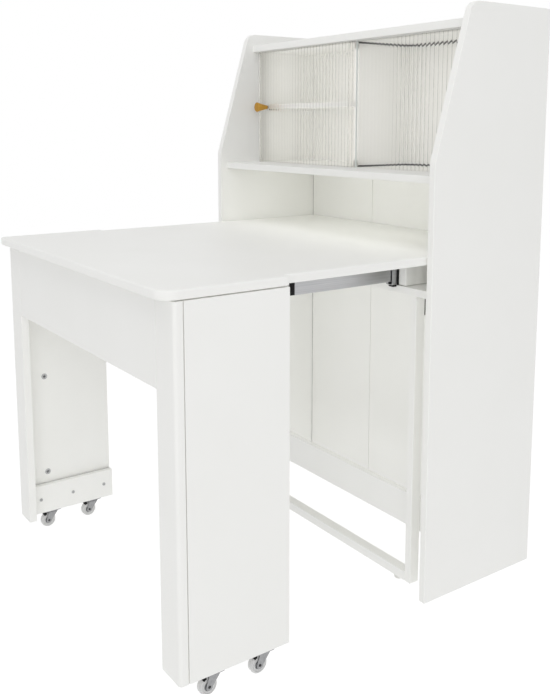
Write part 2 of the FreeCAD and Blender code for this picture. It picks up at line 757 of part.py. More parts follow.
def caster_plate(name, x, y):
    """Plate under the leg with collar, kingpin and the kingpin's head below the crown."""
    half_plate = s.plate_width / 2
    half_length = s.plate_length / 2
    head_top_z = crown_low_z - s.kingpin_play
    head_low_z = head_top_z - s.kingpin_head_height
    plate = box(name + "_sheet", (x - half_plate, x + half_plate),
                (y - half_length, y + half_length), (plate_low_z, s.leg_low))
    collar = rod(name + "_collar", s.collar_radius, plate_low_z - crown_top_z, x, y, crown_top_z)
    pin = rod(name + "_pin", s.kingpin_radius, plate_low_z - head_low_z, x, y, head_low_z)
    head = rod(name + "_head", s.kingpin_head_radius, s.kingpin_head_height, x, y, head_low_z)
    keep(fuse(name + "_whole", [plate, collar, pin, head]), name)


def caster_fork(name, x, y):
    """Bent sheet: a crown on the kingpin and two cheeks that lead forward to the axle."""
    body = new_body(name)
    side_view = sketch_on(body, "YZ_Plane", name + "_side")
    outline(side_view, [
        (ZERO, s.wheel_radius - s.fork_boss),
        (s.fork_boss * 2, s.wheel_radius - s.fork_boss),
        (fork_reach + s.crown_radius, crown_low_z),
        (fork_reach + s.crown_radius, crown_top_z),
        (fork_reach - s.crown_radius, crown_top_z),
        (ZERO, s.wheel_radius),
    ])
    block = pad(body, side_view, fork_outer, name + "_block")
    round_edges(body, block, s.fork_round, name + "_ends",
                lambda b: near(b.ZMax, s.wheel_radius - s.fork_boss) and b.XLength > b.YLength)
    gap = sketch_on(body, "XZ_Plane", name + "_gap")
    inside = (s.fork_sheet, s.fork_sheet + fork_inner)
    outline(gap, [(inside[0], ZERO), (inside[1], ZERO), (inside[1], crown_low_z), (inside[0], crown_low_z)])
    pocket(body, gap, name + "_wheel_gap")
    pivot = sketch_on(body, "XY_Plane", name + "_pivot")
    circle(pivot, fork_outer / 2, fork_reach, s.kingpin_radius + s.running_clear)
    pocket(body, pivot, name + "_kingpin_hole", backward=True)
    bore = sketch_on(body, "YZ_Plane", name + "_bore")
    circle(bore, s.fork_boss, s.wheel_radius, axle_hole_radius)
    pocket(body, bore, name + "_axle_hole", backward=True)
    place(body, x - fork_outer / 2, y - fork_reach, ZERO)
    keep(body, name)


def caster_wheel(name, x, y):
    """Turned wheel: hub, dished web and a round-shouldered tyre."""
    body = new_body(name)
    sketch = sketch_on(body, "XY_Plane", name + "_section")
    wide = s.wheel_width
    dish = (s.wheel_dish, wide - s.wheel_dish)
    outline(sketch, [
        (ZERO, axle_hole_radius), (wide, axle_hole_radius),
        (wide, s.hub_radius), (dish[1], s.hub_radius), (dish[1], s.rim_radius), (wide, s.rim_radius),
        (wide, s.wheel_radius), (ZERO, s.wheel_radius),
        (ZERO, s.rim_radius), (dish[0], s.rim_radius), (dish[0], s.hub_radius), (ZERO, s.hub_radius),
    ])
    turned = revolve(body, sketch, "H_Axis", name + "_turned")
    round_edges(body, turned, s.wheel_arris, name + "_tyre",
                lambda b: b.XLength < 0.01 and near(b.YMax, s.wheel_radius))
    place(body, x - wide / 2, y, s.wheel_radius)
    keep(body, name)


CASTER_ROWS = {"front": stile_rear_y + s.caster_front, "rear": leg_rear_y - s.caster_rear}
for word, side in SIDES.items():
    caster_x = leg_inner_x * side
    for row_name, swivel_y in CASTER_ROWS.items():
        end = f"{row_name}_{word}"
        axle_y = swivel_y - s.caster_trail
        axle_half = fork_outer / 2 + s.axle_end
        caster_plate(f"caster_plate_{end}", caster_x, swivel_y)
        caster_fork(f"caster_fork_{end}", caster_x, swivel_y)
        keep(rod(f"axle_{end}", s.axle_radius, axle_half * 2, caster_x - axle_half, axle_y,
                 s.wheel_radius, turn((0, 1, 0), 90)), f"caster_axle_{end}")
        caster_wheel(f"caster_wheel_{end}", caster_x, axle_y)


# Recompute, inspect and write

doc.recompute()
for target in doc.Objects:
    if {"Invalid", "Error"} & set(target.State):
        raise RuntimeError(f"{target.Label}: {target.State}")
for node in nodes:
    if node.Shape.isNull() or not node.Shape.isValid():
        raise RuntimeError(f"{node.Label}: no valid shape")

os.makedirs("parts", exist_ok=True)
for node in nodes:
    node.Shape.exportStep(f"parts/{node.Label}.step")
print(len(nodes), "nodes written")
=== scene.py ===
import collections
import json
import math

import bpy
import mathutils
import numpy as np
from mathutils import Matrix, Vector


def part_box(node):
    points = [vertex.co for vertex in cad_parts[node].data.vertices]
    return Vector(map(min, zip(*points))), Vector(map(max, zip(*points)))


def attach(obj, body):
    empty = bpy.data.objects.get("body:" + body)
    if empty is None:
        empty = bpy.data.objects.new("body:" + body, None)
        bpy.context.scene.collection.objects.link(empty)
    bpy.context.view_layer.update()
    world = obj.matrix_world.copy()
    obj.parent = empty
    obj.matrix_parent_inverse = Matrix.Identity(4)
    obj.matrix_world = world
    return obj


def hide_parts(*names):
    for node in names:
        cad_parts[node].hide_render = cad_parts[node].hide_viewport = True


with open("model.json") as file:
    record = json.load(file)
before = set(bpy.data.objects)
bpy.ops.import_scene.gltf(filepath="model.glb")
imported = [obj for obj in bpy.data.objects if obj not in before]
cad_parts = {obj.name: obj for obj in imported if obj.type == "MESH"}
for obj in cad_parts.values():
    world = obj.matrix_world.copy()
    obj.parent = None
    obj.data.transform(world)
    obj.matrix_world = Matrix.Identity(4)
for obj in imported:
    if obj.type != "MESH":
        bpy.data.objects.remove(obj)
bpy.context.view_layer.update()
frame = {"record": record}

MM = 0.001
RECORD = frame["record"]
BODY_OF = {node: body for body, members in RECORD["behaviour"]["bodies"].items() for node in members}
SIDES = {"left": -1, "right": 1}
CASTER_ENDS = [f"{row}_{word}" for word in SIDES for row in ("front", "rear")]


# Nodes and finishes


def srgb(text):
    """Linear colour of an sRGB hex value."""
    parts = np.array([int(text[first:first + 2], 16) for first in (1, 3, 5)]) / 255
    linear = np.where(parts <= 0.04045, parts / 12.92, ((parts + 0.055) / 1.055) ** 2.4)
    return (*linear.tolist(), 1.0)


def every(size):
    """Pattern scale that repeats about once in the given millimetres."""
    return 1 / (size * MM)


def add(tree, kind, inputs=None, **settings):
    """Add a shader node; inputs gives a socket its value, or the socket that feeds it."""
    made = tree.nodes.new(kind)
    for name, value in settings.items():
        setattr(made, name, value)
    for name, value in (inputs or {}).items():
        if isinstance(value, bpy.types.NodeSocket):
            tree.links.new(value, made.inputs[name])
        else:
            made.inputs[name].default_value = value
    return made


def start(name, **constants):
    """New material, with the constants set on the sockets of its shader."""
    material = bpy.data.materials.new(name)
    material.use_nodes = True
    tree = material.node_tree
    shader = tree.nodes["Principled BSDF"]
    for socket, value in constants.items():
        shader.inputs[socket.replace("_", " ")].default_value = value
    coords = add(tree, "ShaderNodeTexCoord")
    return material, tree, shader, coords.outputs


def dress(tree, shader, cloud, tones, grain, gloss, relief=None):
    """Lead the colour between two tones by one pattern, and the roughness by another.

    The second pattern also raises a relief, given as its strength and its depth in millimetres.
    """
    tone = add(tree, "ShaderNodeMix", {0: cloud, 6: srgb(tones[0]), 7: srgb(tones[1])}, data_type="RGBA")
    tree.links.new(tone.outputs[2], shader.inputs["Base Color"])
    rough = add(tree, "ShaderNodeMapRange", {"Value": grain, "To Min": gloss[0], "To Max": gloss[1]})
    tree.links.new(rough.outputs["Result"], shader.inputs["Roughness"])
    if relief:
        strength, depth = relief
        bump = add(tree, "ShaderNodeBump", {"Height": grain, "Strength": strength, "Distance": depth * MM})
        tree.links.new(bump.outputs["Normal"], shader.inputs["Normal"])


def satin_melamine():
    # Paper-faced board pressed against a satin plate: even white, soft sheen, a fine peel.
    # The peel is drawn at 3 mm, coarser than the real one, so that it shows.
    material, tree, shader, coords = start("satin_melamine_board", IOR=1.5)
    place = coords["Object"]
    cloud = add(tree, "ShaderNodeTexNoise", {"Vector": place, "Scale": every(160), "Detail": 3.0})
    peel = add(tree, "ShaderNodeTexNoise", {"Vector": place, "Scale": every(3), "Detail": 2.0})
    dress(tree, shader, cloud.outputs["Fac"], ("#F6F6F4", "#F2F2EF"), peel.outputs["Fac"], (0.40, 0.52),
          (0.10, 0.2))
    return material


def rolled_glass():
    # Rolled clear glass: colourless, polished, hazed a little in slow clouds.
    material, tree, shader, coords = start("rolled_clear_glass", IOR=1.5, Transmission_Weight=1.0)
    cloud = add(tree, "ShaderNodeTexNoise", {"Vector": coords["Object"], "Scale": every(60), "Detail": 2.0})
    lead = cloud.outputs["Fac"]
    dress(tree, shader, lead, ("#FFFEFD", "#FDFCFA"), lead, (0.0, 0.004))
    return material


def flute_ridge(word, clear_to, grey_from):
    # Ridge between two flutes: clear glass at the left end of a door, beyond it a thin grey line of painted
    # shade for the dark lines that the flutes show.
    material, tree, shader, coords = start(f"glass_flute_ridge_painted_shade_{word}", IOR=1.5, Transmission_Weight=1.0)
    place = coords["Object"]
    split = add(tree, "ShaderNodeSeparateXYZ", {"Vector": place})
    part = add(tree, "ShaderNodeMapRange",
               {"Value": split.outputs["X"], "From Min": clear_to * MM, "From Max": grey_from * MM})
    grain = add(tree, "ShaderNodeTexNoise", {"Vector": place, "Scale": every(2), "Detail": 3.0})
    # These grey tones are painted shade, not a colour of the glass.
    grey = add(tree, "ShaderNodeMix", {0: grain.outputs["Fac"], 6: srgb("#C6C6C2"), 7: srgb("#B6B6B2")},
               data_type="RGBA")
    tone = add(tree, "ShaderNodeMix", {0: part.outputs["Result"], 6: srgb("#FEFDFC"), 7: grey.outputs[2]},
               data_type="RGBA")
    gloss = add(tree, "ShaderNodeMapRange", {"Value": part.outputs["Result"], "To Min": 0.0, "To Max": 0.02})
    tree.links.new(tone.outputs[2], shader.inputs["Base Color"])
    tree.links.new(gloss.outputs["Result"], shader.inputs["Roughness"])
    return material


def lined(name, source, sizes, detail, tones, gloss, strength, **constants):
    """Drawn, rolled or turned surface: two close tones and lines of the given millimetres along each axis."""
    material, tree, shader, coords = start(name, **constants)
    run = add(tree, "ShaderNodeMapping", {"Vector": coords[source], "Scale": [every(size) for size in sizes]})
    lines = add(tree, "ShaderNodeTexNoise", {"Vector": run.outputs["Vector"], "Scale": 1.0, "Detail": detail})
    lead = lines.outputs["Fac"]
    dress(tree, shader, lead, tones, lead, gloss, (strength, 0.2))
    return material


def moulded(name, tones, gloss, grit, detail=3.0, depth=0.2, **constants):
    """Moulded, cast or sprayed surface: two close tones and a grit of the given millimetres."""
    material, tree, shader, coords = start(name, **constants)
    place = coords["Object"]
    grain = add(tree, "ShaderNodeTexNoise", {"Vector": place, "Scale": every(grit), "Detail": detail})
    lead = grain.outputs["Fac"]
    dress(tree, shader, lead, tones, lead, gloss, (0.15, depth))
    return material


MELAMINE = satin_melamine()
# Extruded ABS band glued on the cut edges: a touch glossier than the faces, with fine lines along its run.
BAND = lined("abs_edge_band", "UV", (167, 1.5, 1000), 2.0, ("#F6F6F4", "#F1F1EE"), (0.32, 0.44), 0.08,
             IOR=1.53)
GLASS = rolled_glass()
# Ground edge of the glass: frosted, pale grey green.
GROUND = moulded("ground_glass_edge", ("#EDF1EF", "#DFE6E2"), (0.50, 0.65), 1.0, IOR=1.5)
# Each door's ridges: clear up to the first distance, then a grey line of painted shade from the second on.
RIDGES = {"left": flute_ridge("left", -260, -220), "right": flute_ridge("right", 120, 160)}
# Solid brass from the lathe, lacquered satin: warm yellow, with fine tool rings round the axis.
BRASS = lined("satin_turned_brass", "UV", (50, 0.5, 1000), 3.0, ("#DDAF57", "#BA8632"), (0.20, 0.38), 0.15,
              Metallic=1.0)
# Cold-rolled strip, bright zinc plated: light grey, with roll lines along the slide.
BRIGHT = lined("bright_zinc_plated_steel", "Object", (1.6, 111, 1.6), 4.0, ("#C9C9CA", "#A5A6A8"),
               (0.26, 0.46), 0.10, Metallic=1.0)
# Pressed zinc-plated fittings: mid grey, clouded, barely glossy.
DULL = moulded("dull_grey_zinc", ("#B4B4B5", "#838486"), (0.34, 0.58), 5.0, 4.0, 0.3, Metallic=1.0)
# Tumbled die-cast zinc: pale grey and matt, with soft highlights.
TUMBLED = moulded("tumbled_die_cast_zinc", ("#C6C7C8", "#AFB0B1"), (0.42, 0.58), 2.0, Metallic=0.4)
# Sprayed black lacquer on steel: deep black, half gloss, a slight peel.
LACQUER = moulded("black_lacquered_steel", ("#1B1B1C", "#0F0F10"), (0.30, 0.48), 2.0, IOR=1.5)
# Pale nylon tyre: cloudy grey white that lets a little light in.
NYLON = moulded("pale_nylon_tyre", ("#D9D9D8", "#C6C6C6"), (0.28, 0.42), 3.0, IOR=1.53, Subsurface_Weight=0.2,
                Subsurface_Scale=0.003, Subsurface_Radius=(1.0, 1.0, 1.0))
# Moulded hub: mid-grey polypropylene, matt from the tool.
HUB = moulded("grey_polypropylene_hub", ("#9A9B9D", "#838486"), (0.45, 0.60), 1.2, IOR=1.49)
# Turned polyethylene foot: milky white, waxy.
GLIDE = moulded("milky_polyethylene_glide", ("#E6E6E2", "#D6D6D1"), (0.35, 0.50), 2.0, IOR=1.51)
# Moulded black nylon: dark, half matt, with a fine texture from the tool. The same black also paints shade on
# the caster guards and the slide stops.
BLACK_NYLON_AND_SHADE = moulded("black_nylon_buffer_and_painted_shade", ("#0E0E0F", "#070708"), (0.45, 0.60), 1.0, IOR=1.53,
                 Specular_IOR_Level=0.2)
# Matt, dusty black for the strips in the board joints and grooves: painted shade, standing for the shadow in
# those gaps.
SHADE_BLACK = moulded("painted_shade_black", ("#141414", "#0B0B0B"), (0.65, 0.85), 1.5, IOR=1.52)
# A board's two finishes: on its faces and on its edges.
BOARD = [MELAMINE, BAND]


# Surfaces


Skin = collections.namedtuple("Skin", "points loops sizes smooth finish uv")
TURN = {"x": (2, 0, 1), "y": (1, 2, 0), "z": (0, 1, 2)}
LEAST_ROUND = 0.02
CORNER_TO_ARRIS = 1.1
# Radius at which a turned end turns into its flat cap.
EYE = 0.3


def span(node):
    """Lowest and highest corner of a node at rest, in millimetres."""
    low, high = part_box(node)
    return np.array(low) / MM, np.array(high) / MM


def along(axis, points, sense=1, at=(0, 0, 0)):
    """Lay (u, v, w) so that w runs along the named axis, then move it to a point.

    A sense of -1 first half-turns it about u.
    """
    return (points * (1, sense, sense))[..., TURN[axis]] + np.array(at)


def skin(rings, smooth=True, wrap=False, finish=0, cap_finish=0):
    """Surface over a stack of closed rings: grid point (i, j) is point j of ring i.

    Each cell joins four neighbours and the last column joins the first. The end rings are filled, or with
    wrap the last ring joins the first. UV is the length run round the ring and from ring to ring, in metres.
    """
    rows, columns = rings.shape[:2]
    index = np.arange(rows * columns).reshape(rows, columns)
    stack = rings
    if wrap:
        index = np.vstack([index, index[:1]])
        stack = np.concatenate([rings, rings[:1]])
    beside = np.roll(index, -1, axis=1)
    cells = np.stack([index[:-1], beside[:-1], beside[1:], index[1:]], axis=-1)
    around = np.linalg.norm(np.roll(rings, -1, axis=1) - rings, axis=-1).mean(axis=0)
    onward = np.linalg.norm(np.diff(stack, axis=0), axis=-1).mean(axis=1)
    u = np.concatenate([[0], np.cumsum(around)]) * MM
    v = np.concatenate([[0], np.cumsum(onward)]) * MM
    shape = cells.shape[:2]
    corner_u = np.broadcast_to(np.stack([u[:-1], u[1:], u[1:], u[:-1]], axis=-1), (*shape, 4))
    corner_v = np.broadcast_to(np.stack([v[:-1], v[:-1], v[1:], v[1:]], axis=-1)[:, None], (*shape, 4))
    loops = [cells.reshape(-1)]
    sizes = [np.full(cells.shape[0] * columns, 4)]
    uv = [np.stack([corner_u, corner_v], axis=-1).reshape(-1, 2)]
    flags = [np.broadcast_to(np.asarray(smooth), shape).reshape(-1)]
    finishes = [np.broadcast_to(np.asarray(finish), shape).reshape(-1)]
    if not wrap:
        for ring, order in ((0, slice(None, None, -1)), (rows - 1, slice(None))):
            chosen = index[ring][order]
            flat = rings.reshape(-1, 3)[chosen]
            keep = np.sort(np.argsort(np.ptp(flat, axis=0))[1:])
            loops.append(chosen)
            sizes.append(np.array([columns]))
            uv.append(flat[:, keep] * MM)
            flags.append(np.array([False]))
            finishes.append(np.array([cap_finish]))
    return Skin(rings.reshape(-1, 3), *map(np.concatenate, (loops, sizes, flags, finishes, uv)))


def together(skins):
    """Several surfaces as one, their point numbers moved on."""
    firsts = np.cumsum([0] + [len(one.points) for one in skins[:-1]])
    loops = np.concatenate([one.loops + first for one, first in zip(skins, firsts)])
    names = ("points", "sizes", "smooth", "finish", "uv")
    rest = {name: np.concatenate([getattr(one, name) for one in skins]) for name in names}
    return Skin(loops=loops, **rest)


def put(name, made, finishes, nodes=(), body=None, crease=None):
    """Mesh piece from a surface in millimetres; it stands for the given nodes and rides on their body."""
    mesh = bpy.data.meshes.new(name)
    mesh.vertices.add(len(made.points))
    mesh.vertices.foreach_set("co", (made.points * MM).astype(np.float32).ravel())
    mesh.loops.add(len(made.loops))
    mesh.loops.foreach_set("vertex_index", made.loops.astype(np.int32))
    mesh.polygons.add(len(made.sizes))
    mesh.polygons.foreach_set("loop_start", (np.cumsum(made.sizes) - made.sizes).astype(np.int32))
    mesh.polygons.foreach_set("use_smooth", made.smooth.astype(bool))
    mesh.polygons.foreach_set("material_index", made.finish.astype(np.int32))
    mesh.uv_layers.new(name="run").uv.foreach_set("vector", made.uv.astype(np.float32).ravel())
    mesh.update(calc_edges=True)
    mesh.validate()
    if crease:
        mesh.polygons.foreach_set("use_smooth", np.ones(len(made.sizes), dtype=bool))
        mesh.set_sharp_from_angle(angle=math.radians(crease))
    for material in finishes:
        mesh.materials.append(material)
    piece = bpy.data.objects.new(name, mesh)
    bpy.context.scene.collection.objects.link(piece)
    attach(piece, body or BODY_OF[nodes[0]])
    if nodes:
        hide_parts(*nodes)


def cover(node, made, finishes, crease=None):
    """Piece that stands for one node and takes its name."""
    put(node + "_finish", made, finishes, [node], crease=crease)


def rounded(corners, steps):
    """Closed outline through corners (u, v, radius), anticlockwise, each corner swung round its own arc.

    An arc's middle lies on the corner's bisector, radius / sin(half angle) away; its points swing from one
    tangent point to the other. Returns points, outward normals and a flag for the columns inside an arc.
    """
    corners = np.array(corners, dtype=float)
    spot = corners[:, :2]
    radius = np.maximum(corners[:, 2:], LEAST_ROUND)
    back = np.roll(spot, 1, axis=0) - spot
    ahead = np.roll(spot, -1, axis=0) - spot
    back /= np.linalg.norm(back, axis=1, keepdims=True)
    ahead /= np.linalg.norm(ahead, axis=1, keepdims=True)
    bisector = back + ahead
    bisector /= np.linalg.norm(bisector, axis=1, keepdims=True)
    half = np.arccos(np.clip((back * bisector).sum(axis=1), -1, 1))[:, None]
    middle = spot + bisector * radius / np.sin(half)
    convex = np.sign(-back[:, 0] * ahead[:, 1] + back[:, 1] * ahead[:, 0])[:, None]
    swing = np.linspace(-1, 1, steps + 1)[None, :] * (math.pi / 2 - half) * convex
    cos, sin = np.cos(swing), np.sin(swing)
    away = -bisector
    spoke = np.stack([away[:, :1] * cos - away[:, 1:] * sin, away[:, :1] * sin + away[:, 1:] * cos], axis=-1)
    points = middle[:, None] + spoke * radius[:, None]
    normals = spoke * convex[:, None]
    inside = np.tile(np.arange(steps + 1) < steps, len(corners))
    return points.reshape(-1, 2), normals.reshape(-1, 2), inside


def rectangle(low_u, low_v, high_u, high_v, radii, steps):
    """Rounded outline of a rectangle; radii is one radius, or four from the low corner on, anticlockwise."""
    corners = [(low_u, low_v), (high_u, low_v), (high_u, high_v), (low_u, high_v)]
    return rounded(np.column_stack([corners, np.broadcast_to(radii, 4)]), steps)


def plate(axis, outline, low, high, arris, steps=4, rim=0, face=0):
    """Outline carried through a thickness along one axis, its two rims eased by a quarter round.

    Over the quarter the outline draws in by arris * (1 - sin t) while it rises by arris * (1 - cos t).
    """
    points, normals, inside = outline
    t = np.linspace(0, math.pi / 2, steps + 1)
    draw = arris * (1 - np.sin(t))
    rise = arris * (1 - np.cos(t))
    inset = np.concatenate([draw, draw[::-1]])
    level = np.concatenate([low + rise, (high - rise)[::-1]])
    flat = points[None] - normals[None] * inset[:, None, None]
    rings = np.concatenate([flat, np.broadcast_to(level[:, None, None], (*flat.shape[:2], 1))], axis=-1)
    row = np.arange(len(level) - 1)[:, None]
    smooth = (row != steps) | inside[None]
    finish = np.where(row == steps, rim, face) + np.zeros_like(inside[None], dtype=int)
    return skin(along(axis, rings), smooth, finish=finish, cap_finish=face)


def board(node, axis, arris=0.8, rim=1, low_gap=(0, 0, 0), high_gap=(0, 0, 0)):
    """Flat board of a node's size, its thickness along the axis.

    It stops short of a neighbour by the gap of an open joint. Its corners are a little rounder than its rims.
    """
    low, high = span(node)
    low = low + low_gap
    high = high - high_gap
    u, v, w = np.argsort(TURN[axis])
    outline = rectangle(low[u], low[v], high[u], high[v], arris * CORNER_TO_ARRIS, 4)
    cover(node, plate(axis, outline, low[w], high[w], arris, rim=rim), BOARD)


def lathe(axis, profile, at, sense=1, around=48, wrap=False):
    """Profile of (radius, height) swung once round an axis through a point, its height along the axis."""
    profile = np.array(profile, dtype=float)
    angle = np.arange(around) * (2 * math.pi / around)
    radius = profile[:, :1]
    rings = np.stack([radius * np.cos(angle), radius * np.sin(angle),
                      np.broadcast_to(profile[:, 1:], (len(profile), around))], axis=-1)
    return skin(along(axis, rings, sense, at), wrap=wrap)


def quarter(radius_from, height_from, radius_to, height_to, steps=6):
    """Quarter of an ellipse between two profile points.

    It leaves the first along the radius and meets the second upright: sin t across, 1 - cos t up.
    """
    t = np.linspace(0, math.pi / 2, steps + 1)
    return np.stack([radius_from + (radius_to - radius_from) * np.sin(t),
                     height_from + (height_to - height_from) * (1 - np.cos(t))], axis=-1).tolist()


def bead(middle_w, middle_r, radius, steps=8):
    """Half round lip of a profile, swung outwards about its middle from below to above."""
    t = np.linspace(-math.pi / 2, math.pi / 2, steps + 1)
    return np.stack([middle_r + radius * np.cos(t), middle_w + radius * np.sin(t)], axis=-1).tolist()


def cross_head(axis, at, sense, radius, height, arm, depth, around=64, steps=16):
    """Round head with a cross recess, on a polar grid.

    The height is a low dome, height * (1 - 0.35 (r / radius)^4), less the recess, whose floor is a smooth
    step in the distance from the nearer arm of the cross. A short upright wall closes it to what lies below.
    """
    angle = np.arange(around) * (2 * math.pi / around)
    eye = radius * 0.03
    r = np.linspace(eye, radius, steps)[:, None]
    u = r * np.cos(angle)
    v = r * np.sin(angle)
    width = arm * 0.24
    flank = width * 0.6
    toe = arm * 0.3
    along_u = np.clip((width - np.abs(v)) / flank, 0, 1) * np.clip((arm - np.abs(u)) / toe, 0, 1)
    along_v = np.clip((width - np.abs(u)) / flank, 0, 1) * np.clip((arm - np.abs(v)) / toe, 0, 1)
    cut = np.maximum(along_u, along_v)
    dome = height * (1 - 0.35 * (r / radius) ** 4) - depth * cut * cut * (3 - 2 * cut)
    top = np.stack([u, v, np.broadcast_to(dome, u.shape)], axis=-1)
    foot = top[-1:] * (1, 1, 0)
    rings = np.concatenate([foot, top[::-1]])
    return skin(along(axis, rings, sense, at))


# Cabinet boards

KNEE_HEIGHT = 940
KNEE_ROUND = 60
TOP_ROUND = 30
SQUARE_ROUND = 2
PANEL_TOP_DEPTH = 244
PANEL_ARRIS = 1.2
for word in SIDES:
    low, high = span(f"side_panel_{word}")
    outline = rounded([
        (low[1], low[2], SQUARE_ROUND), (high[1], low[2], SQUARE_ROUND), (high[1], high[2], SQUARE_ROUND),
        (high[1] - PANEL_TOP_DEPTH, high[2], TOP_ROUND), (low[1], KNEE_HEIGHT, KNEE_ROUND)], 14)
    cover(f"side_panel_{word}", plate("x", outline, low[0], high[0], PANEL_ARRIS, rim=1), BOARD)

# Back boards slipped between the panels: a fine groove in the face between two, a wider one at each panel.
GROOVE_DEEP = 4
GROOVE_FINE = 0.3
GROOVE_WIDE = 1.4
FACE_ROUND = 0.5
STEP_ROUND = 0.1
REAR_ROUND = 0.8
BACK_ARRIS = 0.08
BACK_GAPS = {"left": (GROOVE_WIDE, GROOVE_FINE), "centre": (GROOVE_FINE, GROOVE_FINE),
             "right": (GROOVE_FINE, GROOVE_WIDE)}
for word, (low_gap, high_gap) in BACK_GAPS.items():
    low, high = span(f"back_board_{word}")
    front, rear = low[1], high[1]
    step = front + GROOVE_DEEP
    face_from, face_to = low[0] + low_gap, high[0] - high_gap
    section = [(face_from, front, FACE_ROUND), (face_to, front, FACE_ROUND), (face_to, step, STEP_ROUND),
               (high[0], step, STEP_ROUND), (high[0], rear, REAR_ROUND), (low[0], rear, REAR_ROUND),
               (low[0], step, STEP_ROUND), (face_from, step, STEP_ROUND)]
    cover(f"back_board_{word}", plate("z", rounded(section, 4), low[2], high[2], BACK_ARRIS, face=1), BOARD)

for node, axis in (("divider", "x"), ("small_shelf", "z"), ("inner_board", "z"), ("lower_rail", "y"),
                   ("batten_left", "x"), ("batten_right", "x")):
    board(node, axis)
CLEAT_GAP = 1.2
for word in SIDES:
    board(f"cleat_{word}", "x", low_gap=(0, 0, CLEAT_GAP))

# Boards of the table screwed together dry: a hairline stays open at each joint.
HAIRLINE = 1.6
HAIRLINE_DEEP = 13
UNDER_TOP = 1.5
RAIL_GAP = 2.4
APRON_GAP = 0.7
LEG_ROUND = 0.7
LEG_ARRIS = 0.6
board("apron", "y", low_gap=(APRON_GAP, 0, 0), high_gap=(APRON_GAP, 0, 0))
for word, side in SIDES.items():
    low, high = span(f"leg_panel_{word}")
    near, far = sorted((low[0] * side, high[0] * side))
    front, rear = low[1], high[1]
    step = front + HAIRLINE
    inside = far - HAIRLINE_DEEP
    section = [(near, rear), (near, front), (inside, front), (inside, step), (far, step), (far, rear)]
    outline = rounded([(x * side, y, LEG_ROUND) for x, y in section][::side], 4)
    cover(f"leg_panel_{word}", plate("z", outline, low[2], high[2] - UNDER_TOP, LEG_ARRIS, face=1), BOARD)
    gap = (RAIL_GAP, 0, 0)
    if side < 0:
        board(f"caster_rail_{word}", "x", low_gap=gap)
    else:
        board(f"caster_rail_{word}", "x", high_gap=gap)

# Black strips in the joints between the caster rails and the leg panels, a little below the rails' tops:
# painted shade for the shadow in those joints.
JOINT_CLEAR = 0.1
JOINT_SHORT = 1
JOINT_BELOW = 0.8
JOINT_DOWN_TO = 6
JOINT_ROUND = 0.5
JOINT_ARRIS = 0.3
strips = []
for word, side in SIDES.items():
    low, high = span(f"caster_rail_{word}")
    outer = max(abs(low[0]), abs(high[0]))
    x0, x1 = sorted(((outer - RAIL_GAP + JOINT_CLEAR) * side, (outer - JOINT_CLEAR) * side))
    outline = rectangle(x0, low[1] + JOINT_SHORT, x1, high[1] - JOINT_SHORT, JOINT_ROUND, 3)
    strips.append(plate("z", outline, high[2] - JOINT_DOWN_TO, high[2] - JOINT_BELOW, JOINT_ARRIS, 2))
put("rail_joint_shade_strips", together(strips), [SHADE_BLACK], body="table")

FRAME_ARRIS = 1.5
for node in ("frame_bar", "frame_post_left", "frame_post_right"):
    board(node, "y", FRAME_ARRIS, rim=0)

DOOR_FRONTS = [span(f"door_glass_{word}")[0][1] for word in SIDES]
DOOR_THICK = 5
GROOVE_CLEAR = 0.5
TOP_GROOVE = 9
SHELF_GROOVE = 5


def grooved(node, depth, grooves_up):
    """Cross-section of a board with two door grooves, carried from panel to panel."""
    mouth, floor, lip, heel, arris = 0.4, 0.3, 1.2, 0.6, 0.25
    low, high = span(node)
    grooved_z, plain_z = (high[2], low[2]) if grooves_up else (low[2], high[2])
    floor_z = grooved_z - depth if grooves_up else grooved_z + depth
    cuts = []
    for front in sorted(DOOR_FRONTS):
        near = front - GROOVE_CLEAR
        far = front + DOOR_THICK + GROOVE_CLEAR
        cuts += [(near, grooved_z, mouth), (near, floor_z, floor), (far, floor_z, floor),
                 (far, grooved_z, mouth)]
    section = [(low[1], grooved_z, lip), *cuts, (high[1], grooved_z, heel), (high[1], plain_z, heel),
               (low[1], plain_z, lip)]
    if grooves_up:
        section = section[::-1]
    cover(node, plate("x", rounded(section, 4), low[0], high[0], arris, 2), [MELAMINE])


grooved("top_board", TOP_GROOVE, False)
grooved("hutch_shelf", SHELF_GROOVE, True)


# Fittings of the cabinet

# Black strips on the floor and the ceiling of the right compartment, along the divider and the back: painted
# shade for the shadow gaps at those junctions.
STRIP_TALL = 4
STRIP_THICK = 2
STRIP_GAP = 0.1
STRIP_ROUND = 0.5
STRIP_ARRIS = 0.4
divider_low, divider_high = span("divider")
back_y = span("back_board_centre")[0][1]
strip_x = divider_high[0] + STRIP_THICK
beside_divider = (divider_high[0], divider_low[1], strip_x, back_y)
beside_back = (strip_x + STRIP_GAP, back_y - STRIP_THICK, span("side_panel_right")[0][0], back_y)
strips = []
for low_z in (span("hutch_shelf")[1][2], span("top_board")[0][2] - STRIP_TALL):
    for corners in (beside_divider, beside_back):
        outline = rectangle(*corners, STRIP_ROUND, 3)
        strips.append(plate("z", outline, low_z, low_z + STRIP_TALL, STRIP_ARRIS, 3))
put("hutch_shade_strips", together(strips), [SHADE_BLACK], body="cabinet")

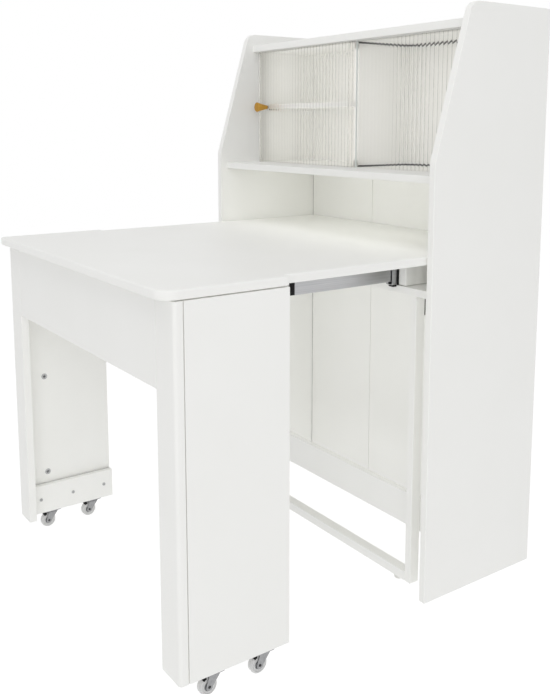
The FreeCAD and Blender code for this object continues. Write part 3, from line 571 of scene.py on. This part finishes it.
# Black strips in the grooves beside the two panels, set back a little from the face of the back boards:
# painted shade for the shadow in the grooves.
SET_BACK = 0.6
GROOVE_SHADE_DEEP = 3
GROOVE_SHADE_ROUND = 0.3
GROOVE_SHADE_ARRIS = 0.2
strips = []
for word, side in SIDES.items():
    low, high = span(f"back_board_{word}")
    panel_low, panel_high = span(f"side_panel_{word}")
    edge, wall = (low[0], panel_high[0]) if side < 0 else (high[0], panel_low[0])
    x0, x1 = sorted((wall, edge - side * GROOVE_WIDE))
    front = low[1] + SET_BACK
    outline = rectangle(x0, front, x1, front + GROOVE_SHADE_DEEP, GROOVE_SHADE_ROUND, 3)
    strips.append(plate("z", outline, low[2], high[2], GROOVE_SHADE_ARRIS, 2))
put("back_groove_shade_strips", together(strips), [SHADE_BLACK], body="cabinet")

PIN_RADIUS = 2.5
# A pin from its end in the wall to its domed tip.
PIN = [(0.2, -1), (PIN_RADIUS, -1), (PIN_RADIUS, 6.6)] + quarter(PIN_RADIUS, 7.0, 1.2, 8.0, 4)[1:]
low, high = span("shelf_pins")
pin_z = span("small_shelf")[0][2] - PIN_RADIUS
pins = []
for wall, sense in ((span("side_panel_left")[1][0], 1), (divider_low[0], -1)):
    for y in (low[1] + PIN_RADIUS, high[1] - PIN_RADIUS):
        pins.append(lathe("x", PIN, (wall, y, pin_z), sense, 24))
cover("shelf_pins", together(pins), [LACQUER], crease=35)

BRACKET_THICK = 2.5
BRACKET_EASE = 0.6
BRACKET_ARRIS = 0.5
INNER_BEND = 2.0
OUTER_BEND = 3.0
BRACKET_SPOTS = np.array([12, 30])
BRACKET_SCREW = {"radius": 4, "height": 1.6, "arm": 2.4, "depth": 1.2, "around": 32, "steps": 10}
low, high = span("frame_brackets")
post_low, post_high = span("frame_post_right")
upright_y = low[1] + BRACKET_THICK
level_z = high[2] - BRACKET_THICK
bent_strip = rounded([
    (low[1], low[2], BRACKET_EASE), (upright_y, low[2], BRACKET_EASE), (upright_y, level_z, INNER_BEND),
    (high[1], level_z, BRACKET_EASE), (high[1], high[2], BRACKET_EASE), (low[1], high[2], OUTER_BEND)], 6)
brackets = []
for side in SIDES.values():
    near, far = sorted((post_low[0] * side, post_high[0] * side))
    middle = (near + far) / 2
    brackets.append(plate("x", bent_strip, near, far, BRACKET_ARRIS, 3))
    for z in low[2] + BRACKET_SPOTS:
        brackets.append(cross_head("y", (middle, upright_y, z), 1, **BRACKET_SCREW))
    for y in high[1] - BRACKET_SPOTS:
        brackets.append(cross_head("z", (middle, y, level_z), -1, **BRACKET_SCREW))
cover("frame_brackets", together(brackets), [LACQUER])

low, high = span("frame_glides")
glide_radius = (high[1] - low[1]) / 2
glide_y = (low[1] + high[1]) / 2
# A glide from its domed sole up to the flange under the bar.
glide = quarter(EYE, low[2], glide_radius - 2, low[2] + 1.5)
glide += [(glide_radius - 0.6, high[2] - 3), (glide_radius, high[2] - 2.4), (glide_radius, high[2] - 0.2)]
glide += [(glide_radius - 0.3, high[2]), (EYE, high[2])]
glides = [lathe("z", glide, (x, glide_y, 0)) for x in (low[0] + glide_radius, high[0] - glide_radius)]
cover("frame_glides", together(glides), [GLIDE], crease=35)


# Slides


def slide(node, web_sign, race, proud=0):
    """Rolled section of a slide member carried along its length: web, two flanges, and the raceway beads."""
    sheet, bead_tall, bead_wide = 1.5, 4.9, 5.5
    edge, fold, lip, curl, heel, arris = 0.5, 0.8, 1.0, 1.6, 2.2, 0.3
    low, high = span(node)
    low[1] -= proud
    wide = high[0] - low[0]
    tall = high[2] - low[2]
    web = wide - sheet
    flange = tall - sheet
    if race:
        reach = sheet + bead_tall
        section = [(0, 0, lip), (wide, 0, heel), (wide, tall, heel), (0, tall, lip),
                   (0, tall - reach, curl), (bead_wide, tall - reach, curl), (bead_wide, flange, fold),
                   (web, flange, fold), (web, sheet, fold), (bead_wide, sheet, fold),
                   (bead_wide, reach, curl), (0, reach, curl)]
    else:
        section = [(0, 0, edge), (wide, 0, heel), (wide, tall, heel), (0, tall, edge),
                   (0, flange, edge), (web, flange, fold), (web, sheet, fold), (0, sheet, edge)]
    if web_sign < 0:
        section = [(wide - x, z, radius) for x, z, radius in section][::-1]
    outline = rounded([(low[2] + z, low[0] + x, radius) for x, z, radius in section][::-1], 5)
    cover(node, plate("y", outline, low[1], high[1], arris, 2), [BRIGHT])


def outer_face(node, side):
    """Distance across of the face of a node that is turned away from the middle."""
    low, high = span(node)
    return high[0] if side > 0 else low[0]


CHANNEL_PROUD = 16
BUFFER_LONG = 12
BUFFER_THICK = 2.2
BUFFER_INSET = 1
BUFFER_CLEAR = 0.1
BUFFER_ROUNDS = (2.5, 0.6, 0.6, 1.5)
BUFFER_ARRIS = 0.5
RIB_PROUD = 0.6
RIB_SET_BACK = 2.5
RIB_WIDE = 2.5
RIB_LEAN = 3
RIB_UP = 8
RIB_DOWN = 9
RIB_ROUND = 0.7
RIB_ARRIS = 0.2
STOP_FROM = 0.1
STOP_TO = 3.6
STOP_CLEAR = 0.2
STOP_LONG = 3
STOP_ROUND = 0.6
STOP_ARRIS = 0.4
FOOT_WIDE = 15
FOOT_TALL = 4
FOOT_FROM = 3.6
FOOT_TO = 13
FOOT_ROUNDS = (1.2, 0.6, 0.6, 1.2)
for word, side in SIDES.items():
    slide(f"slide_channel_{word}", side, True, CHANNEL_PROUD)
    slide(f"slide_middle_{word}", side, True)
    slide(f"slide_inner_{word}", -side, False)

    # Nylon end stop of the channel: an upright before the cleat and a foot before the inner board; its black
    # also paints the shade in the gap at the cleat and under the channel.
    low, high = span(f"slide_channel_{word}")
    outer = outer_face(f"slide_channel_{word}", side)
    near, far = sorted((outer + side * STOP_FROM, outer + side * STOP_TO))
    outline = rectangle(low[2], near, high[2], far, STOP_ROUND, 4)
    upright = plate("y", outline, low[1] - STOP_LONG, low[1] - STOP_CLEAR, STOP_ARRIS, 3)
    near, far = sorted((outer, outer - side * FOOT_WIDE))
    outline = rectangle(low[2] - FOOT_TALL, near, low[2] - STOP_CLEAR, far, FOOT_ROUNDS, 4)
    foot = plate("y", outline, low[1] - FOOT_TO, low[1] - FOOT_FROM, STOP_ARRIS, 3)
    put(f"slide_stop_and_shade_{word}", together([upright, foot]), [BLACK_NYLON_AND_SHADE], body=BODY_OF[f"slide_channel_{word}"])

    # Nylon buffer clipped on the front end of the middle member, in the plane of its web, with a slanted rib.
    low, high = span(f"slide_middle_{word}")
    outer = outer_face(f"slide_middle_{word}", side)
    front = low[1] - BUFFER_LONG
    outline = rectangle(front, low[2] + BUFFER_INSET, low[1] - BUFFER_CLEAR, high[2] - BUFFER_INSET,
                        BUFFER_ROUNDS, 6)
    tab = plate("x", outline, *sorted((outer - side * BUFFER_THICK, outer)), BUFFER_ARRIS, 3)
    foot_y, foot_z, head_z = front + RIB_SET_BACK, low[2] + RIB_UP, high[2] - RIB_DOWN
    rib_corners = [(foot_y, foot_z), (foot_y + RIB_WIDE, foot_z), (foot_y + RIB_WIDE + RIB_LEAN, head_z),
                   (foot_y + RIB_LEAN, head_z)]
    outline = rounded([(*corner, RIB_ROUND) for corner in rib_corners], 4)
    rib = plate("x", outline, *sorted((outer, outer + side * RIB_PROUD)), RIB_ARRIS, 2)
    put(f"slide_buffer_{word}", together([tab, rib]), [BLACK_NYLON_AND_SHADE], body=BODY_OF[f"slide_middle_{word}"])


# Glass doors

FLUTE_PITCH = 13
FLUTE_HALF = 5.7
FLUTE_DEPTH = 0.55
FLUTE_RADIUS = (FLUTE_HALF ** 2 + FLUTE_DEPTH ** 2) / (2 * FLUTE_DEPTH)
GLASS_BEVEL = 0.5


def fluted_glass(word):
    """Outline with a row of hollow flutes on its front, carried up the door.

    Across a flute the face sinks by depth - radius + sqrt(radius^2 - x^2); between flutes it is flat.
    """
    node = f"door_glass_{word}"
    low, high = span(node)
    wide = high[0] - low[0]
    count = math.floor(wide / FLUTE_PITCH)
    middle = low[0] + (wide - FLUTE_PITCH * (count - 1)) / 2 + FLUTE_PITCH * np.arange(count)
    x = np.linspace(-FLUTE_HALF, FLUTE_HALF, 15)
    sink = FLUTE_DEPTH - FLUTE_RADIUS + np.sqrt(FLUTE_RADIUS ** 2 - x ** 2)
    front = np.stack([(middle[:, None] + x).ravel(), np.tile(low[1] + sink, count)], axis=-1)
    left, right = low[0] + GLASS_BEVEL, high[0] - GLASS_BEVEL
    near, far = low[1] + GLASS_BEVEL, high[1] - GLASS_BEVEL
    rest = np.array([(right, low[1]), (high[0], near), (high[0], far), (right, high[1]),
                     (left, high[1]), (low[0], far), (low[0], near), (left, low[1])])
    outline = np.concatenate([front, rest])
    level = np.array([low[2], high[2]])
    rings = np.concatenate([np.broadcast_to(outline, (2, *outline.shape)),
                            np.broadcast_to(level[:, None, None], (2, len(outline), 1))], axis=-1)
    # The right edge and both ends are ground, and the flat between two flutes has the ridge's finish, with
    # its grey line of painted shade.
    finish = np.zeros((1, len(outline)), dtype=int)
    finish[:, len(front):len(front) + 3] = 1
    finish[:, len(x) - 1:len(front) - 1:len(x)] = 2
    cover(node, skin(rings, finish=finish, cap_finish=1), [GLASS, GROUND, RIDGES[word]], crease=10)


KNOB_LONG = 33
# A knob from its foot on the glass out along the cone, over the rounded rim, to a fine ring on its face.
KNOB = [(EYE, 0), (5.5, 0), (5.5, 0.6), (5.2, 1.0), (12.6, KNOB_LONG - 3.0), (12.9, KNOB_LONG - 1.6),
        (12.8, KNOB_LONG - 0.7), (12.3, KNOB_LONG - 0.15), (11.6, KNOB_LONG), (9.0, KNOB_LONG),
        (8.6, KNOB_LONG - 0.12), (8.2, KNOB_LONG), (EYE, KNOB_LONG)]
KNOB_SCREW = {"radius": 4, "height": 1.8, "arm": 2.4, "depth": 1.1, "around": 48, "steps": 14}
SHANK_RADIUS = 1.9
SHANK_TIP = 0.2
UNDER_HEAD = 0.1
for word in SIDES:
    fluted_glass(word)
    low, high = span(f"door_knob_{word}")
    knob_x, knob_z = (low[::2] + high[::2]) / 2
    cover(f"door_knob_{word}", lathe("y", KNOB, (knob_x, high[1], knob_z), -1, 72), [BRASS], crease=40)
    low, high = span(f"door_knob_screw_{word}")
    head = cross_head("y", (knob_x, high[1] - KNOB_SCREW["height"], knob_z), 1, **KNOB_SCREW)
    tip = low[1] + SHANK_TIP
    neck = high[1] - KNOB_SCREW["height"] - UNDER_HEAD
    shank = lathe("y", [(EYE, tip), (SHANK_RADIUS, tip + SHANK_TIP), (SHANK_RADIUS, neck), (EYE, neck)],
                  (knob_x, 0, knob_z), 1, 24)
    cover(f"door_knob_screw_{word}", together([head, shank]), [BRIGHT], crease=40)


# Table

REAR_HALF = 398
LEFT_CORNER = 14
RIGHT_CORNER = 33
END_CORNER = 4.2
INNER_CORNER = 2
TOP_ARRIS = 4.0
leg_low, leg_high = span("leg_panel_right")
shoulder_y = leg_high[1]
low, high = span("tabletop")
outline = rounded([
    (low[0], low[1], LEFT_CORNER), (high[0], low[1], RIGHT_CORNER),
    (high[0], shoulder_y, END_CORNER), (REAR_HALF, shoulder_y, INNER_CORNER),
    (REAR_HALF, high[1], END_CORNER), (-REAR_HALF, high[1], END_CORNER),
    (-REAR_HALF, shoulder_y, INNER_CORNER), (low[0], shoulder_y, END_CORNER)], 16)
cover("tabletop", plate("z", outline, low[2], high[2], TOP_ARRIS, 7, rim=1), BOARD)

STILE_ROUND = 7
STILE_EASE = 0.9
STILE_ARRIS = 0.8
for word, side in SIDES.items():
    low, high = span(f"leg_stile_{word}")
    front = (STILE_ROUND, STILE_EASE)[::-side]
    outline = rectangle(low[0], low[1], high[0], high[1], (*front, STILE_EASE, STILE_EASE), 8)
    cover(f"leg_stile_{word}", plate("z", outline, low[2], high[2] - UNDER_TOP, STILE_ARRIS, face=1), BOARD)

LOCK = {"radius": 7.5, "height": 0.5, "arm": 4.6, "depth": 1.0}
LOCK_HEIGHTS = (144, 393)
LOCK_INSET = 50
RAIL_SCREW = {"radius": 4, "height": 2.0, "arm": 2.6, "depth": 1.3, "around": 48, "steps": 14}
RAIL_SCREW_HEIGHT = 80
RAIL_SCREW_INSET = 24
leg_front, leg_rear = leg_low[1], leg_high[1]
locks = []
screws = []
for side in SIDES.values():
    face_x = leg_low[0] * side
    for z in LOCK_HEIGHTS:
        locks.append(cross_head("x", (face_x, leg_front + LOCK_INSET, z), -side, **LOCK))
    rail_x = span("caster_rail_right")[0][0] * side
    for y in (leg_front + RAIL_SCREW_INSET, (leg_front + leg_rear) / 2, leg_rear - RAIL_SCREW_INSET):
        screws.append(cross_head("x", (rail_x, y, RAIL_SCREW_HEIGHT), -side, **RAIL_SCREW))
cover("leg_cam_locks", together(locks), [TUMBLED], crease=40)
cover("caster_rail_screws", together(screws), [TUMBLED], crease=40)


# Casters


def fork_sheet(x, swivel_y, axle_y, wheel_radius):
    """Bent sheet: a path up one cheek, over the crown and down the other, times the sheet's breadth.

    At each height the breadth runs from the front edge to the rear edge of the cheek; near the axle both
    close in on a half circle, so the ends are round. The outer and the inner face make one ring per step.
    """
    boss, sheet, inner, wheel_clear = 7, 2, 8, 2
    outer_bend, inner_bend = 3, 1
    crown_half = 12
    end_angle = 0.12
    crown_low = 2 * wheel_radius + wheel_clear
    crown_top = crown_low + sheet
    bottom = wheel_radius - boss
    rise = np.concatenate([bottom + boss * (1 - np.cos(np.linspace(end_angle, math.pi / 2, 9))),
                           np.linspace(wheel_radius, crown_top - outer_bend, 7)[1:]])
    bend = np.linspace(0, math.pi / 2, 7)[1:]
    cross = (inner - inner_bend) * np.linspace(1, -1, 9)[1:-1]

    def path(cheek_x, cheek_z, radius, crown_z):
        half_x = np.concatenate([np.full(len(rise), cheek_x), cheek_x - radius + radius * np.cos(bend)])
        half_z = np.concatenate([cheek_z, crown_z - radius + radius * np.sin(bend)])
        return (np.concatenate([half_x, cross, -half_x[::-1]]),
                np.concatenate([half_z, np.full(len(cross), crown_z), half_z[::-1]]))

    outer_x, outer_z = path(inner + sheet, rise, outer_bend, crown_top)
    inner_x, inner_z = path(inner, np.minimum(rise, crown_low - inner_bend), inner_bend, crown_low)
    round_half = np.sqrt(np.clip(boss ** 2 - np.clip(wheel_radius - outer_z, 0, boss) ** 2, 0, None))
    up = np.clip((outer_z - wheel_radius) / (crown_top - wheel_radius), 0, 1)
    front = axle_y - round_half + up * (swivel_y - crown_half - axle_y + boss)
    rear = axle_y + round_half + up * (swivel_y + crown_half - axle_y - boss)
    breadth = front[:, None] + (rear - front)[:, None] * np.linspace(0, 1, 9)
    outside, inside = (np.stack([np.broadcast_to(x + across[:, None], breadth.shape), breadth,
                                 np.broadcast_to(height[:, None], breadth.shape)], axis=-1)
                       for across, height in ((outer_x, outer_z), (inner_x, inner_z)))
    return skin(np.concatenate([outside, inside[:, ::-1]], axis=1))


GUARD_FROM = 16
GUARD_TO = 38
GUARD_RINGS = 11


def hood(x, axle_y, axle_z):
    """Black guard over the front of a wheel, painted shade for the shadow on its tyre: a channel section of
    (across, radius) swept round the axle.

    It runs between two angles off the top: forward by radius * sin(angle), up by radius * cos(angle).
    """
    section = np.array([(-7.9, 16), (-7.25, 16), (-7.25, 18.6), (7.25, 18.6),
                        (7.25, 16), (7.9, 16), (7.9, 20.3), (-7.9, 20.3)])
    angle = np.radians(np.linspace(GUARD_FROM, GUARD_TO, GUARD_RINGS))[:, None]
    across, radius = section.T
    return skin(np.stack([np.broadcast_to(x + across, (GUARD_RINGS, len(section))),
                          axle_y - radius * np.sin(angle), axle_z + radius * np.cos(angle)], axis=-1))


HUB_RADIUS = 8.6
TYRE_SHOULDER = 3.5
PLATE_CORNER = 5
PLATE_THICK = 2
PLATE_ARRIS = 0.4
COLLAR_BORE = 2.9
RIVET_RADIUS = 2.8
AXLE_RADIUS = 2.5
RIVET_TALL = 1.45
RIVET_RIM = 0.9
for end in CASTER_ENDS:
    low, high = span(f"caster_plate_{end}")
    x, swivel_y = (low[:2] + high[:2]) / 2
    top = high[2]
    under = top - PLATE_THICK
    sheet = plate("z", rectangle(*low[:2], *high[:2], PLATE_CORNER, 8), under, top, PLATE_ARRIS, 3)
    # The collar under the plate, from the kingpin out over the beaded ball race.
    collar = lathe("z", [(COLLAR_BORE, top - 8.0), (8.0, top - 4.0), *bead(top - 3.0, 9.5, 0.9), (8.5, under),
                         (COLLAR_BORE, under)], (x, swivel_y, 0))
    cover(f"caster_plate_{end}", together([sheet, collar]), [DULL], crease=40)

    low, high = span(f"caster_wheel_{end}")
    radius = (high[2] - low[2]) / 2
    half = (high[0] - low[0]) / 2
    axle_y = (low[1] + high[1]) / 2
    centre = (x, axle_y, radius)
    cover(f"caster_fork_{end}", fork_sheet(x, swivel_y, axle_y, radius), [DULL], crease=40)

    # Half profiles of the tyre and the hub run from the left side inwards; the right half mirrors them.
    flank = [(HUB_RADIUS, -half + 0.8), (HUB_RADIUS + 0.6, -half + 0.2), (12.4, -half + 0.2),
             (12.8, -half + 0.8), (13.3, -half + 0.8), (13.7, -half)]
    shoulder = quarter(radius - TYRE_SHOULDER, -half, radius, -half + TYRE_SHOULDER, 7)
    tyre = np.array([*flank, *shoulder, (radius, -half * 0.3)])
    hub = np.array([(2.6, -half), (4.0, -half), (4.4, -half + 0.4), (4.8, -half + 1.6), (5.2, -half + 1.9),
                    (7.4, -half + 1.9), (8.0, -half + 1.5), (HUB_RADIUS, -half + 0.6)])
    tyre, hub = (np.concatenate([part, part[::-1] * (1, -1)]) for part in (tyre, hub))
    put(f"caster_tyre_{end}", lathe("x", tyre, centre, 1, 72, wrap=True), [NYLON], [f"caster_wheel_{end}"],
        crease=40)
    put(f"caster_hub_{end}", lathe("x", hub, centre, 1, 60, wrap=True), [HUB], [f"caster_wheel_{end}"],
        crease=30)
    # The black guard is painted shade over the top front of the tyre.
    put(f"caster_shade_guard_{end}", hood(x, axle_y, radius), [BLACK_NYLON_AND_SHADE], body=BODY_OF[f"caster_fork_{end}"],
        crease=35)

    low, high = span(f"caster_axle_{end}")
    reach = (high[0] - low[0]) / 2
    rim = reach - RIVET_RIM
    head = [(AXLE_RADIUS, reach - RIVET_TALL), (RIVET_RADIUS, reach - RIVET_TALL), (RIVET_RADIUS, rim)]
    head = np.array(head + quarter(RIVET_RADIUS, rim, EYE, reach)[1:])
    axle = np.concatenate([head[::-1] * (1, -1), head])
    cover(f"caster_axle_{end}", lathe("x", axle, centre, 1, 40), [LACQUER], crease=40)


# Floor, light and camera

FLOOR = 6000
FLOOR_LINES = 9
lines = np.linspace(-FLOOR, FLOOR, FLOOR_LINES) * MM
floor_x, floor_y = np.meshgrid(lines, lines, indexing="ij")
floor_points = np.stack([floor_x, floor_y, np.zeros_like(floor_x)], axis=-1).reshape(-1, 3)
index = np.arange(FLOOR_LINES ** 2).reshape(FLOOR_LINES, FLOOR_LINES)
floor_cells = np.stack([index[:-1, :-1], index[1:, :-1], index[1:, 1:], index[:-1, 1:]], axis=-1)
floor_mesh = bpy.data.meshes.new("floor")
floor_mesh.from_pydata(floor_points.tolist(), [], floor_cells.reshape(-1, 4).tolist())
floor = bpy.data.objects.new("floor", floor_mesh)
bpy.context.scene.collection.objects.link(floor)


def seen(tree):
    """One for what the eye, a reflection or the glass sees, nought for what only lights the object."""
    path = add(tree, "ShaderNodeLightPath")
    either = add(tree, "ShaderNodeMath", {0: path.outputs["Is Camera Ray"], 1: path.outputs["Is Glossy Ray"]},
                 operation="MAXIMUM")
    any_of = add(tree, "ShaderNodeMath", {0: either.outputs[0], 1: path.outputs["Is Transmission Ray"]},
                 operation="MAXIMUM")
    return any_of.outputs[0]


# White studio paper lit from below, as on a light table: matt, a little greyer where the object shades it.
paper = bpy.data.materials.new("white_studio_paper")
paper.use_nodes = True
tree = paper.node_tree
tree.nodes.clear()
matt = add(tree, "ShaderNodeBsdfDiffuse", {"Color": srgb("#969696")})
level = add(tree, "ShaderNodeMapRange", {"Value": seen(tree), "To Min": 0.70, "To Max": 0.84})
glow = add(tree, "ShaderNodeEmission", {"Color": srgb("#FFFFFF"), "Strength": level.outputs["Result"]})
both = add(tree, "ShaderNodeAddShader", {0: matt.outputs[0], 1: glow.outputs[0]})
add(tree, "ShaderNodeOutputMaterial", {"Surface": both.outputs[0]})
floor_mesh.materials.append(paper)

# Even pale tent; what the eye, a reflection or the glass sees of it is plain white.
world = bpy.data.worlds.new("studio")
bpy.context.scene.world = world
world.use_nodes = True
tree = world.node_tree
tree.nodes.clear()
level = add(tree, "ShaderNodeMapRange", {"Value": seen(tree), "To Min": 0.50, "To Max": 1.0})
tent = add(tree, "ShaderNodeBackground", {"Color": srgb("#FFFFFF"), "Strength": level.outputs["Result"]})
add(tree, "ShaderNodeOutputWorld", {"Surface": tent.outputs[0]})


def soft_box(name, spot, aim, wide, tall, power):
    """Soft rectangular lamp at a spot, facing a point; it shows only in the light that it gives."""
    lamp = bpy.data.lights.new(name, "AREA")
    lamp.shape = "RECTANGLE"
    lamp.size = wide
    lamp.size_y = tall
    lamp.energy = power
    holder = bpy.data.objects.new(name, lamp)
    holder.location = spot
    beam = mathutils.Vector(aim) - mathutils.Vector(spot)
    holder.rotation_euler = beam.to_track_quat("-Z", "Y").to_euler()
    holder.visible_camera = False
    holder.visible_glossy = False
    holder.visible_transmission = False
    bpy.context.scene.collection.objects.link(holder)


# Places and sizes in metres, power in watts.
soft_box("high_box", (3.2, -2.3, 2.4), (0, 0.1, 0.7), 2.4, 2.4, 34)
soft_box("side_box", (4.4, -0.2, 1.0), (0, 0.0, 0.6), 2.4, 2.0, 9)
soft_box("top_box", (0.3, -1.4, 4.4), (0, -0.1, 0.7), 2.4, 2.4, 43)
# Weak fills in the mouths of the three recesses, so that the white inside doesn't sink into grey.
soft_box("bay_fill", (0, 0.20, 0.865), (0, 0.46, 0.99), 0.60, 0.04, 0.17)
HUTCH_FILL_Y = 0.286
HUTCH_FILL_WIDE = 0.38
HUTCH_FILLS = {"left_low": (-0.19, 0.995, 0.13, 0.111), "left_high": (-0.19, 1.1375, 0.125, 0.106),
               "right": (0.19, 1.065, 0.27, 0.178)}
for word, (x, z, tall, power) in HUTCH_FILLS.items():
    soft_box(f"hutch_fill_{word}", (x, HUTCH_FILL_Y, z), (x, 1, z), HUTCH_FILL_WIDE, tall, power)
soft_box("base_fill", (0, 0.183, 0.44), (0, 1, 0.44), 0.78, 0.58, 0.19)

# Light is followed through many bounces, because the cabinet is white inside.
bpy.context.scene.cycles.max_bounces = 24
bpy.context.scene.cycles.diffuse_bounces = 14
bpy.context.scene.cycles.transmission_bounces = 16

lens = bpy.data.cameras.new("view")
lens.sensor_width = 36
lens.lens = 44.47
lens.shift_x = -0.0049
lens.shift_y = -0.1445
camera = bpy.data.objects.new("view", lens)
camera.location = (1.6358, -1.1002, 1.0177)
camera.rotation_euler = (math.radians(81.87), 0, math.radians(54.9))
bpy.context.scene.collection.objects.link(camera)
bpy.context.scene.camera = camera
bpy.context.scene.view_settings.view_transform = "Standard"
